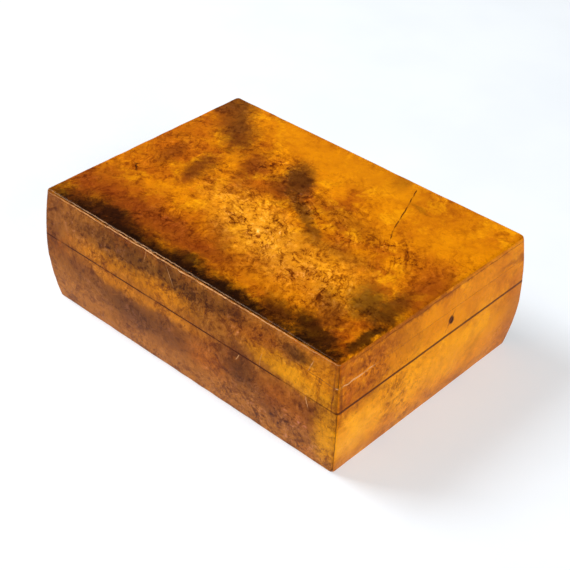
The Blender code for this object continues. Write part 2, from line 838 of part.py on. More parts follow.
def build():
    clear_scene()
    outside = block()
    lid = pivot_at("lid_pivot", (0, SIDE, LID_LINE))
    right_slide = pivot_at("right_strip_pivot", (END, 0, STRIP_MIDDLE))
    left_slide = pivot_at("left_strip_pivot", (-END, 0, STRIP_MIDDLE))
    bolt_slide = pivot_at("bolt_pivot", (-WALL_INNER_X, BOLT_Y[1], sum(BOLT_Z) / 2))

    box_cuts, lid_cuts = [], []
    for tag, x in (("hinge_left", -HINGE_X), ("hinge_right", HINGE_X)):
        more_box, more_lid = hinge(tag, x, lid)
        box_cuts += more_box
        lid_cuts += more_lid

    base_room = centred_box(
        "base_room",
        WALL_INNER_X + REBATE,
        SIDE - WALL + REBATE,
        -BEYOND,
        BASE_THICK + GLUE_GAP,
    )
    for side in ("front", "back", "left", "right"):
        wall = plank(side + "_wall", side, -BEYOND, BOX_TOP, outside)
        cut(wall, base_room)
        if side == "back":
            cut(wall, *box_cuts)
        if side == "left":
            cut(wall, *link_plate())
        finish(wall, "burl")
    base = centred_box(
        "base_panel",
        WALL_INNER_X + REBATE - GLUE_GAP,
        SIDE - WALL + REBATE - GLUE_GAP,
        0,
        BASE_THICK,
    )
    finish(base, "inside_wood")

    reach = END + OVERHANG
    board_room = centred_box(
        "board_room",
        WALL_INNER_X + REBATE,
        SIDE - WALL + REBATE,
        BOARD_BASE - GLUE_GAP,
        HEIGHT + BEYOND,
    )
    right_channel = channel(1, "right", -reach)
    left_channel = channel(-1, "left", LEFT_STRIP_START)
    rail_cuts = {
        "front": [*right_channel, *left_channel],
        "back": [*right_channel, *left_channel, *lid_cuts],
        "left": [
            *left_channel,
            *escutcheon(lid),
            *keyhole("rail_keyhole", -END - BEYOND, -WALL_INNER_X + BEYOND),
            stop_pin("left_pin_hole", -1, LEFT_STOP_Y, GLUE_GAP),
            *lock_case(lid),
        ],
        "right": [*right_channel, stop_pin("right_pin_hole", 1, RIGHT_STOP_Y, GLUE_GAP)],
    }
    for side, cutters in rail_cuts.items():
        rail = plank(side + "_rail", side, LID_BASE, RAIL_TOP, outside)
        cut(rail, board_room, *cutters)
        finish(rail, "burl", lid)
    board = centred_box(
        "lid_board",
        WALL_INNER_X + REBATE - GLUE_GAP,
        SIDE - WALL + REBATE - GLUE_GAP,
        BOARD_BASE,
        RAIL_TOP,
    )
    finish(board, "inside_wood", lid)
    sheet = centred_box("lid_top", reach, reach, SHEET_BASE, HEIGHT + BEYOND)
    finish(trimmed(sheet, outside), "burl", lid)

    right_strip = strip("right_strip", 1, -reach, RIGHT_TONGUE_START, outside)
    cut(right_strip, stop_slot("right_slot", 1, RIGHT_STOP_Y, -1), key_pocket())
    finish(right_strip, "burl", right_slide)
    key(right_slide)
    left_strip = strip("left_strip", -1, LEFT_STRIP_START, LEFT_TONGUE_START, outside)
    cut(left_strip, stop_slot("left_slot", -1, LEFT_STOP_Y, 1))
    finish(left_strip, "burl", left_slide)
    finish(stop_pin("right_stop_pin", 1, RIGHT_STOP_Y), "brass", lid)
    finish(stop_pin("left_stop_pin", -1, LEFT_STOP_Y), "brass", lid)

    lock_bolt(bolt_slide)
    bolt_spring(lid)


build()
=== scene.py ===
"""Looks of the wooden puzzle box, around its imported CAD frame.

The wood is varnished burl: gold to amber, clouded by dark stains, with a fine cross figure. Colours are
painted in the frame's own coordinates, in millimetres, so that they run on from one piece to the next.
"""

import math

import bmesh
import bpy
import json
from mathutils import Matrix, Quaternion, Vector, noise


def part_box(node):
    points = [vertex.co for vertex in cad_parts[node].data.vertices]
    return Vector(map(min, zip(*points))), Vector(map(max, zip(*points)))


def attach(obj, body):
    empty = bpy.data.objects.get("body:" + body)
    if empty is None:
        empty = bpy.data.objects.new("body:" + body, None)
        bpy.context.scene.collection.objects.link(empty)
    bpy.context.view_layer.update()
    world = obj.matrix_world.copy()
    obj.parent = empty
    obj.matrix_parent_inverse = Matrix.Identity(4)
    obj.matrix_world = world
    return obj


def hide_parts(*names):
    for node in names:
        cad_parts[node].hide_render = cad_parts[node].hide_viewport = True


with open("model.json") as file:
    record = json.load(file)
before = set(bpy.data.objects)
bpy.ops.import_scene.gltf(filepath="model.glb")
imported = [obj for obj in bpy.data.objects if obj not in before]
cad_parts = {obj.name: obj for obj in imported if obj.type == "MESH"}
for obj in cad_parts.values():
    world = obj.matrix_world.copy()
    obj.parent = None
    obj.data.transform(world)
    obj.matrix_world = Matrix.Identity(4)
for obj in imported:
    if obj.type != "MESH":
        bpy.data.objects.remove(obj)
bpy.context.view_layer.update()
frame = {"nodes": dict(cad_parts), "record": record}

MM = 0.001
NODES = frame["nodes"]
BODY_OF = {n: b for b, members in frame["record"]["behaviour"]["bodies"].items() for n in members}
TOP_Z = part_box("lid_top")[1].z / MM
END_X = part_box("right_wall")[1].x / MM
SIDE_Y = -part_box("front_wall")[0].y / MM
SEAM_Z = (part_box("front_wall")[1].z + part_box("front_rail")[0].z) / 2 / MM

# Linear colours
GOLD = (0.80, 0.25, 0.001)
BRIGHT = (0.98, 0.37, 0.002)
AMBER = (0.50, 0.115, 0.002)
BROWN = (0.17, 0.034, 0.003)
DARK = (0.050, 0.009, 0.001)
BLACK = (0.013, 0.003, 0.0008)
OLIVE = (0.17, 0.056, 0.004)
PLUM = (0.15, 0.042, 0.005)
TAN = (0.52, 0.165, 0.014)
ROSE = (0.36, 0.105, 0.016)
PINK = (0.44, 0.14, 0.022)
PALE = (1.0, 0.42, 0.02)
RED = (0.16, 0.03, 0.006)
RUSSET = (0.24, 0.040, 0.003)
SEAM_TINT = (0.075, 0.012, 0.002)
# Pale: scratches and worn edges, and painted highlights on the lid's arris and the strips' edges
WEAR_AND_HIGHLIGHT = (0.85, 0.42, 0.17)
STREAK_SHADE = (0.50, 0.34, 0.2)
CURL_SHADE = (0.36, 0.22, 0.1)
STREAK_LIGHT = (1.4, 1.5, 2.2)
CURL_LIGHT = (1.3, 1.45, 3.6)
MOTTLE_SHADE = (0.42, 0.27, 0.14)
MOTTLE_LIGHT = (0.30, 0.24, 0.02)
RAW_WOOD = (0.34, 0.17, 0.065)
RAW_DARK = (0.20, 0.085, 0.03)

# Nodes

WAVE_NOISE = (3, 0.6)


class Shade:
    """A material under construction. Sockets and plain values both work as inputs."""

    def __init__(self, name):
        self.material = bpy.data.materials.new(name)
        self.material.use_nodes = True
        self.tree = self.material.node_tree
        self.shader = self.tree.nodes["Principled BSDF"]
        self.place = self.scaled(self.node("ShaderNodeTexCoord").outputs["Object"], 1 / MM)

    def node(self, kind, **settings):
        made = self.tree.nodes.new(kind)
        for key, value in settings.items():
            setattr(made, key, value)
        return made

    def put(self, socket, value):
        """Links a socket or sets a plain value."""
        if isinstance(value, bpy.types.NodeSocket):
            self.tree.links.new(value, socket)
        elif isinstance(value, tuple) and len(value) == 3 and socket.type == "RGBA":
            socket.default_value = (*value, 1)
        else:
            socket.default_value = value

    def scaled(self, vector, factor):
        made = self.node("ShaderNodeVectorMath", operation="SCALE")
        self.put(made.inputs[0], vector)
        made.inputs["Scale"].default_value = factor
        return made.outputs[0]

    def vector(self, operation, a, b):
        made = self.node("ShaderNodeVectorMath", operation=operation)
        self.put(made.inputs[0], a)
        self.put(made.inputs[1], b)
        return made.outputs[0]

    def math(self, operation, a, b=0.0, clamp=False):
        made = self.node("ShaderNodeMath", operation=operation, use_clamp=clamp)
        self.put(made.inputs[0], a)
        self.put(made.inputs[1], b)
        return made.outputs[0]

    def noise(self, size, detail=4.0, rough=0.55, place=None, seed=0.0, colour=False):
        """Noise whose lumps are about size millimetres across."""
        made = self.node("ShaderNodeTexNoise", noise_dimensions="4D")
        self.put(made.inputs["Vector"], self.place if place is None else place)
        made.inputs["W"].default_value = seed
        made.inputs["Scale"].default_value = 1 / size
        made.inputs["Detail"].default_value = detail
        made.inputs["Roughness"].default_value = rough
        return made.outputs["Color" if colour else "Fac"]

    def cells(self, size, place):
        """The distance to the nearest of scattered points about size millimetres apart."""
        made = self.node("ShaderNodeTexVoronoi")
        self.put(made.inputs["Vector"], place)
        made.inputs["Scale"].default_value = 1 / size
        return made.outputs["Distance"]

    def ramp(self, value, low, high, to_low=0.0, to_high=1.0):
        """A smooth step from to_low to to_high as the value goes from low to high."""
        made = self.node("ShaderNodeMapRange", interpolation_type="SMOOTHSTEP")
        self.put(made.inputs["Value"], value)
        for key, number in (("From Min", low), ("From Max", high), ("To Min", to_low), ("To Max", to_high)):
            made.inputs[key].default_value = number
        return made.outputs["Result"]

    def mix(self, factor, a, b, blend="MIX"):
        made = self.node("ShaderNodeMix", data_type="RGBA", blend_type=blend)
        self.put(made.inputs["Factor"], factor)
        self.put(made.inputs[6], a)
        self.put(made.inputs[7], b)
        return made.outputs[2]

    def warped(self, waves, seed):
        """The place, pushed about by noise. Each wave is (size, reach in millimetres, what its seed adds)."""
        place = self.place
        for size, reach, more in waves:
            push = self.noise(size, *WAVE_NOISE, seed=seed + more, colour=True)
            push = self.scaled(self.vector("SUBTRACT", push, (0.5, 0.5, 0.5)), reach * 2)
            place = self.vector("ADD", place, push)
        return place

    def turned(self, place, turn, stretch):
        """The place, turned or stretched. Doing both in one node would stretch it first."""
        made = self.node("ShaderNodeMapping", vector_type="POINT")
        self.put(made.inputs["Vector"], place)
        made.inputs["Rotation"].default_value = turn
        made.inputs["Scale"].default_value = stretch
        return made.outputs[0]

    def scale_by(self, value, factor):
        return self.math("MULTIPLY", value, factor)

    def both(self, *values):
        """The product of several shares."""
        product, *others = values
        for other in others:
            product = self.math("MULTIPLY", product, other)
        return product

    def streaks(self, place, turn, stretch, size, detail, rough, seed):
        """Noise drawn out along one direction of a face."""
        level = self.turned(place, turn, (1, 1, 1))
        return self.noise(size, detail, rough, place=self.turned(level, (0, 0, 0), stretch), seed=seed)

    def whorl(self, place, centre, reach, stretch, size, detail, rough, seed):
        """Noise drawn out along circles round a point of the top. reach is the radius it is made for."""
        arm = self.vector("SUBTRACT", place, centre)
        parts = self.node("ShaderNodeSeparateXYZ")
        self.put(parts.inputs[0], arm)
        far = self.node("ShaderNodeVectorMath", operation="LENGTH")
        self.put(far.inputs[0], arm)
        turn = self.math("ARCTAN2", parts.outputs["Y"], parts.outputs["X"])
        rolled = self.node("ShaderNodeCombineXYZ")
        self.put(rolled.inputs["X"], far.outputs["Value"])
        self.put(rolled.inputs["Y"], self.scale_by(turn, reach * stretch))
        return self.noise(size, detail, rough, place=rolled.outputs[0], seed=seed)

    def blob(self, place, centre, turn, radii, soft, torn=None):
        """1 inside an ellipsoid, falling to 0 outside it, over soft of its radius. torn roughens its edge."""
        made = self.node("ShaderNodeMapping", vector_type="TEXTURE")
        self.put(made.inputs["Vector"], place)
        made.inputs["Location"].default_value = centre
        made.inputs["Rotation"].default_value = turn
        made.inputs["Scale"].default_value = radii
        far = self.node("ShaderNodeVectorMath", operation="LENGTH")
        self.tree.links.new(made.outputs[0], far.inputs[0])
        distance = far.outputs["Value"]
        if torn is not None:
            distance = self.math("ADD", distance, torn)
        return self.ramp(distance, 1 - soft, 1 + soft, 1.0, 0.0)

    def bump(self, height, depth_mm, below=None):
        """The normal of a relief, on top of another one if below is given."""
        made = self.node("ShaderNodeBump")
        self.put(made.inputs["Height"], height)
        made.inputs["Strength"].default_value = 1
        made.inputs["Distance"].default_value = depth_mm * MM
        if below is not None:
            self.tree.links.new(below, made.inputs["Normal"])
        return made.outputs[0]


# Each stain: (u, v, half length, half width, degrees, colour, strength, softness). u and v are millimetres in
# the plane of a face: its length, and its height or, on the top, the way to the back.
TOP_STAINS = [
    (0, -32, 84, 8, 0, AMBER, 0.6, 0.8),
    (-30, -38, 52, 7, 0, RUSSET, 0.85, 0.6),
    (-64, -30, 14, 9, 0, RUSSET, 0.5, 0.8),
    (-46, -46, 20, 5, 0, DARK, 0.8, 0.8),
    (-25, -48.5, 60, 4.6, 0, DARK, 0.85, 0.8),
    (0, -51.5, 84, 4.2, 0, BLACK, 0.95, 0.6),
    (-43, -45.5, 9, 2.8, 0, BLACK, 0.7, 0.7),
    (-2, -46, 7, 4.4, -10, BLACK, 0.8, 0.6),
    (20, -49, 16, 3, 0, BLACK, 0.75, 0.7),
    (40, -44, 9, 5, -20, DARK, 0.9, 0.5),
    (57, -45, 13, 6, -25, BLACK, 0.9, 0.5),
    (60, -21, 11, 7, -35, DARK, 0.9, 0.6),
    (68, -18, 4, 14, 5, DARK, 0.8, 0.6),
    (71, -38, 2.5, 11, 0, BLACK, 0.85, 0.5),
    (52, -32, 12, 5, -40, BROWN, 0.8, 0.6),
    (66, 6, 12, 9, -40, AMBER, 0.9, 0.8),
    (70, 0, 6, 12, 0, RUSSET, 0.6, 0.8),
    (-61, 37, 23, 8, -42, PLUM, 0.9, 0.6),
    (-68, 45, 8, 8, 0, PLUM, 0.6, 0.8),
    (-46, 26, 7, 5, -60, BROWN, 0.75, 0.6),
    (-67, 8, 9, 24, 0, AMBER, 0.8, 0.8),
    (-62, -8, 10, 12, 0, AMBER, 0.6, 0.8),
    (-43, -1, 5, 11, 12, BROWN, 0.9, 0.6),
    (-59, 0, 3.5, 9, 10, BROWN, 0.6, 0.7),
    (-30, 16, 5, 11, 20, BROWN, 0.7, 0.8),
    (-10, 21, 12, 6.5, -58, PLUM, 0.9, 0.5),
    (-9, 21, 8, 4.5, -58, DARK, 0.5, 0.6),
    (-12, 11, 12, 4, -35, BROWN, 0.6, 0.7),
    (5, 6, 11, 3, -35, OLIVE, 0.85, 0.6),
    (18, -3, 6, 2.5, -45, DARK, 0.7, 0.6),
    (32, -6, 14, 4.5, 5, BROWN, 0.55, 0.8),
    (20, 12, 18, 5, -8, BROWN, 0.45, 0.8),
    (19, 48, 4, 6, 10, BROWN, 0.6, 0.8),
    (36, 37, 5, 1.3, -5, DARK, 0.55, 0.6),
    (-3, -28, 12, 4, -40, BROWN, 0.4, 0.8),
    (4, 42, 30, 9, 0, BRIGHT, 0.45, 0.9),
    (58, 30, 18, 14, 0, GOLD, 0.7, 0.9),
    (-15, 40, 26, 8, -5, GOLD, 0.6, 0.9),
    (-2, -13, 24, 10, -20, PALE, 0.5, 0.9),
    (30, -20, 25, 12, 0, PALE, 0.3, 0.9),
    (30, -36, 14, 5, 0, GOLD, 0.5, 0.9),
    (-62, -17, 2.6, 0.6, -22, DARK, 0.8, 0.5),
]
TOP_CRACK = [(26.5, 47), (28, 43.5), (31, 36), (34.5, 26.5), (37, 20), (40.2, 14.8)]
FRONT_STAINS = [
    (0, 40, 84, 9, 0, OLIVE, 0.6, 0.5),
    (-62, 40, 16, 9, 0, PINK, 0.55, 0.8),
    (-38, 43, 20, 4.5, -4, PLUM, 0.4, 0.8),
    (-10, 42, 16, 4, 0, OLIVE, 0.5, 0.8),
    (-8, 34.5, 15, 5, 0, GOLD, 0.75, 0.7),
    (-38, 33, 18, 4.5, 0, GOLD, 0.6, 0.8),
    (22, 36, 14, 4, 0, TAN, 0.5, 0.8),
    (38, 40, 14, 6, 0, AMBER, 0.55, 0.8),
    (55, 35, 17, 4.5, 0, BRIGHT, 0.75, 0.7),
    (65, 41, 9, 6, 0, GOLD, 0.75, 0.7),
    (56, 44, 7, 2.6, 0, DARK, 0.75, 0.6),
    (20, 44, 20, 3.2, 0, DARK, 0.35, 0.7),
    (0, 15, 84, 16, 0, ROSE, 0.75, 0.3),
    (-28, 18, 28, 6.5, 3, PLUM, 0.75, 0.8),
    (-60, 20, 12, 5, 0, PLUM, 0.35, 0.8),
    (-32, 27, 16, 2.6, 0, GOLD, 0.6, 0.8),
    (-3, 28, 14, 2.2, 0, GOLD, 0.55, 0.8),
    (14, 16, 9, 9, 0, AMBER, 0.65, 0.8),
    (31, 22, 9, 7, 0, DARK, 0.6, 0.7),
    (45, 15, 3, 9, -12, BROWN, 0.8, 0.6),
    (52, 22, 12, 6, 0, AMBER, 0.5, 0.8),
    (64, 24, 8, 4.5, 0, BROWN, 0.6, 0.7),
    (30, 8, 22, 6, 0, TAN, 0.7, 0.8),
    (70, 14, 4.5, 15, 0, BRIGHT, 0.85, 0.7),
    (-60, 9, 20, 10, 0, TAN, 0.8, 0.8),
    (-10, 7, 30, 5, 0, TAN, 0.5, 0.8),
    (0, 3, 84, 5.5, 0, TAN, 0.85, 0.7),
]
RIGHT_STAINS_AND_SHADE = [
    (-38, 38, 17, 9, 0, AMBER, 0.4, 0.8),
    (-30, 44, 20, 3, 0, RUSSET, 0.6, 0.7),
    (-15, 39, 8, 5, -20, BROWN, 0.45, 0.8),
    (-38, 33, 13, 3.5, 0, RUSSET, 0.5, 0.8),
    (-10, 48.5, 45, 1.6, 0, RUSSET, 0.7, 0.6),
    (24, 40, 36, 8, 0, GOLD, 0.75, 0.8),
    (-36, 27, 13, 2.4, 0, BROWN, 0.45, 0.8),
    (-18, 20, 3, 8, 15, AMBER, 0.55, 0.8),
    (-24, 16, 2, 9, 8, AMBER, 0.4, 0.8),
    (4, 20, 44, 10, 0, BRIGHT, 0.75, 0.8),
    (-44, 12, 12, 10, 0, PALE, 0.6, 0.8),
    (24, 12, 2.4, 7, -25, BROWN, 0.5, 0.7),
    (36, 11, 18, 8, 0, GOLD, 0.7, 0.8),
    (0, 2, 60, 4, 0, TAN, 0.7, 0.8),
    (49, 12, 6, 14, 0, PINK, 0.5, 0.8),
    (46, 42, 10, 1.0, 0, BROWN, 0.5, 0.8),
    # Painted shade: this stain darkens the back part of the right end
    (46, 34, 13, 12, 0, AMBER, 0.35, 0.8),
    (48, 8, 9, 9, 0, AMBER, 0.5, 0.8),
]
BACK_STAINS = FRONT_STAINS[4:22]
# The left end takes the right end's stains, with the painted shade among them
LEFT_STAINS_AND_SHADE = RIGHT_STAINS_AND_SHADE[3:]

# Where the threads are strongest and where the wood is smooth: (u, v, half length, half width, degrees)
BUSY_TOP = [
    (0, -13, 34, 13, -22),
    (34, -22, 26, 14, -20),
    (14, 8, 26, 8, -15),
    (-22, 20, 10, 10, 0),
    (46, 10, 16, 8, 0),
]
CALM_TOP = [(6, 42, 34, 11, 0), (52, 32, 26, 16, 0), (-28, 42, 22, 8, 0)]
CALM_RIGHT = [(14, 40, 34, 9, 0), (26, 20, 30, 14, 0), (-42, 12, 14, 12, 0)]
CALMING = 0.65
PATCH_SOFTNESS = 0.8
WHORL = (-22, -52, 36)
WHORL_STRETCH = 0.2
BUSY_FRONT = [(10, 42, 60, 7, 0), (45, 10, 30, 12, 0), (-40, 38, 20, 6, 0)]
BUSY_RIGHT = [(-36, 40, 20, 9, 0), (-20, 18, 14, 12, 20)]
FACE_DEPTH = 5

# The bow of the ends and sides, in millimetres, and the powers it grows with
WIDEST_Z = 24
TOP_BOW, TOP_POWER = 1.6, 2
BASE_BOW, BASE_POWER = 2.8, 1.8

# Waves that push a pattern about: (size, reach, what the seed adds), in millimetres
SWIRL = ((16, 6, 0), (5, 2.4, 3), (1.6, 0.8, 4))
RAGGED = ((10, 4.2, 11), (3, 2.2, 13), (1.1, 0.9, 17))
DRIFT = ((11, 5, 25), (4, 1.5, 26))
BEND_SIZE, BEND_SEED = 24, 24
WANDER = ((10, 5, 41),)
CURLED = ((4.5, 2.2, 20), (1.5, 0.9, 21))
WAVY = ((19, 9, 29), (8, 3.6, 30), (3, 0.9, 33))
RIPPLED = ((11, 3, 38), (3.5, 1.1, 39))
SPECKLED = ((2, 0.9, 50),)
STEADY = ((4, 0.7, 60), (1, 0.2, 61))
SEAM_WANDER = ((6, 0.16, 70),)
SCRATCH_DRIFT = ((20, 2, 91),)

# Noise: (size in millimetres, detail, roughness)
CLOUDS = (17, 4, 0.6)
GLINTS = (10, 5, 0.65)
TEARS = (1.3, 6, 0.75)
STREAK_PATCHES = (15, 3, 0.5)
FIGURE_PATCHES = (13, 2, 0.5)
MOTTLE = (4.6, 6, 0.7)
CURL = (2.4, 4, 0.6)
THREAD = (1.25, 3, 0.6)
WHORL_THREAD = (1.35, 3, 0.62)
THREAD_PATCHES = (9, 2, 0.5)
SPECK_PATCHES = (6, 2, 0.5)
LINE_FADES = (3, 3, 0.6)
SEAM_SHADE_PATCHES = (11, 4, 0.6)
GLUE_PATCHES = (7, 3, 0.55)
GLOSS_PATCHES = (12, 4, 0.6)
SCRATCHES = (0.5, 1, 0.4)
UNDULATION = (7, 3, 0.5)
STREAK_DETAIL, STREAK_ROUGHNESS = 5, 0.68
SPECK_SIZE = 2.4

# How far a streak and a scratch are drawn out, and the scratches' slant
STREAK_STRETCH = 0.22
SCRATCH_STRETCH = 0.04
SCRATCH_SLANT = 25
TEAR_STRETCH = (0.5, 0.5, 0.5)
TEAR_REACH = 1.5

# Painted shade along the lid's seam, and glue lines, in millimetres: a dark core that fades out
SEAM_SHADE_CORE = 0.12
SEAM_SHADE_SEED, GLUE_SEED = 71, 72
GLUE_CORE, GLUE_LINE = 0.15, 0.85

# Varnish. Its mirror part is low, so that the white floor doesn't grey the upright faces.
VARNISH_SPECULAR = 0.03
VARNISH_TINT = (1.0, 0.5, 0.16, 1)
COAT_WEIGHT, COAT_ROUGHNESS = 0.05, 0.14
UNDULATION_DEPTH, FIGURE_DEPTH, SCRATCH_DEPTH = 0.12, 0.04, 0.02


def on_top(u, v, long_, wide, degrees):
    return (u, v, TOP_Z), (0, 0, math.radians(degrees)), (long_, wide, FACE_DEPTH)


def on_front(u, v, long_, wide, degrees):
    return (u, -SIDE_Y, v), (0, -math.radians(degrees), 0), (long_, FACE_DEPTH, wide)


def on_right(u, v, long_, wide, degrees):
    return (END_X, u, v), (math.radians(degrees), 0, 0), (FACE_DEPTH, long_, wide)


def on_back(u, v, long_, wide, degrees):
    return (u, SIDE_Y, v), (0, -math.radians(degrees), 0), (long_, FACE_DEPTH, wide)


def on_left(u, v, long_, wide, degrees):
    return (-END_X, u, v), (math.radians(degrees), 0, 0), (FACE_DEPTH, long_, wide)


# Small marks: (place, colour, strength, softness). A shader turns black with much over sixty spots and marks.
# A pale line along the front top arris: partly wear, partly painted highlight
ARRIS_WEAR_AND_HIGHLIGHT = (on_front(0, 48.85, 74, 0.24, 0), WEAR_AND_HIGHLIGHT, 0.95, 0.5)
TOP_MARKS = [
    ARRIS_WEAR_AND_HIGHLIGHT,
    # Painted highlight along the top's front arris
    (on_top(-20, -51.0, 50, 0.13, 0), WEAR_AND_HIGHLIGHT, 0.5, 0.6),
]
FRONT_MARKS = [
    ARRIS_WEAR_AND_HIGHLIGHT,
    (on_front(-30, 48.3, 40, 0.14, 0), SEAM_TINT, 0.7, 0.6),
    # Painted highlight where the strip's edge turns the near corner
    (on_front(74.4, 40, 1.4, 0.26, 0), WEAR_AND_HIGHLIGHT, 1.2, 0.4),
    (on_front(63, 40.2, 10, 0.2, -3), BROWN, 0.7, 0.5),
    (on_front(72.3, 37, 9, 0.28, 90), RED, 0.8, 0.5),
    (on_front(29.3, 28, 1.5, 0.2, 60), WEAR_AND_HIGHLIGHT, 0.9, 0.5),
    (on_front(61.5, 27.5, 2.2, 0.18, -70), WEAR_AND_HIGHLIGHT, 0.7, 0.5),
    (on_front(-5, 44, 3.6, 0.15, -60), WEAR_AND_HIGHLIGHT, 0.5, 0.6),
    (on_front(-18, 46.5, 2.5, 0.15, 80), WEAR_AND_HIGHLIGHT, 0.5, 0.6),
    (on_front(62, 43, 2.2, 0.2, 70), WEAR_AND_HIGHLIGHT, 0.7, 0.6),
    (on_front(-33, 22, 5, 0.12, 25), PINK, 0.5, 0.6),
    (on_front(40, 33, 4, 0.14, 80), WEAR_AND_HIGHLIGHT, 0.35, 0.6),
]
RIGHT_MARKS = [
    # Painted highlight along the strip's edge on the right end
    (on_right(-42.5, 40, 8.5, 0.26, 0), WEAR_AND_HIGHLIGHT, 1.3, 0.4),
    (on_right(-51.0, 37, 8.5, 0.8, 90), BROWN, 0.85, 0.6),
    (on_right(0, 47.8, 50, 0.3, 0), BROWN, 0.7, 0.5),
    (on_right(7.6, 35.8, 1.4, 1.6, 0), DARK, 1.2, 0.4),
    (on_right(6.9, 35.3, 4.0, 0.35, 53), BROWN, 0.8, 0.5),
]


def lengthwise(on_face, stretch):
    """The scales that draw noise out along a face's length."""
    return (1, stretch, 1) if on_face in (on_right, on_left) else (stretch, 1, 1)


def surface_distance(s):
    """How far a point lies inside the bowed ends and sides, as two sockets."""
    axis = s.node("ShaderNodeSeparateXYZ")
    s.put(axis.inputs[0], s.place)
    rise = s.math("SUBTRACT", axis.outputs["Z"], WIDEST_Z)
    inset = 0.0
    curves = ((1, TOP_Z - WIDEST_Z, TOP_BOW, TOP_POWER), (-1, WIDEST_Z, BASE_BOW, BASE_POWER))
    for sign, reach, depth, power in curves:
        part = s.math("MAXIMUM", s.scale_by(rise, sign / reach), 0.0)
        inset = s.math("ADD", s.scale_by(s.math("POWER", part, power), depth), inset)
    found = []
    for name, half in (("X", END_X), ("Y", SIDE_Y)):
        inner = s.math("SUBTRACT", half, s.math("ABSOLUTE", axis.outputs[name]))
        found.append(s.math("SUBTRACT", inner, inset))
    return found


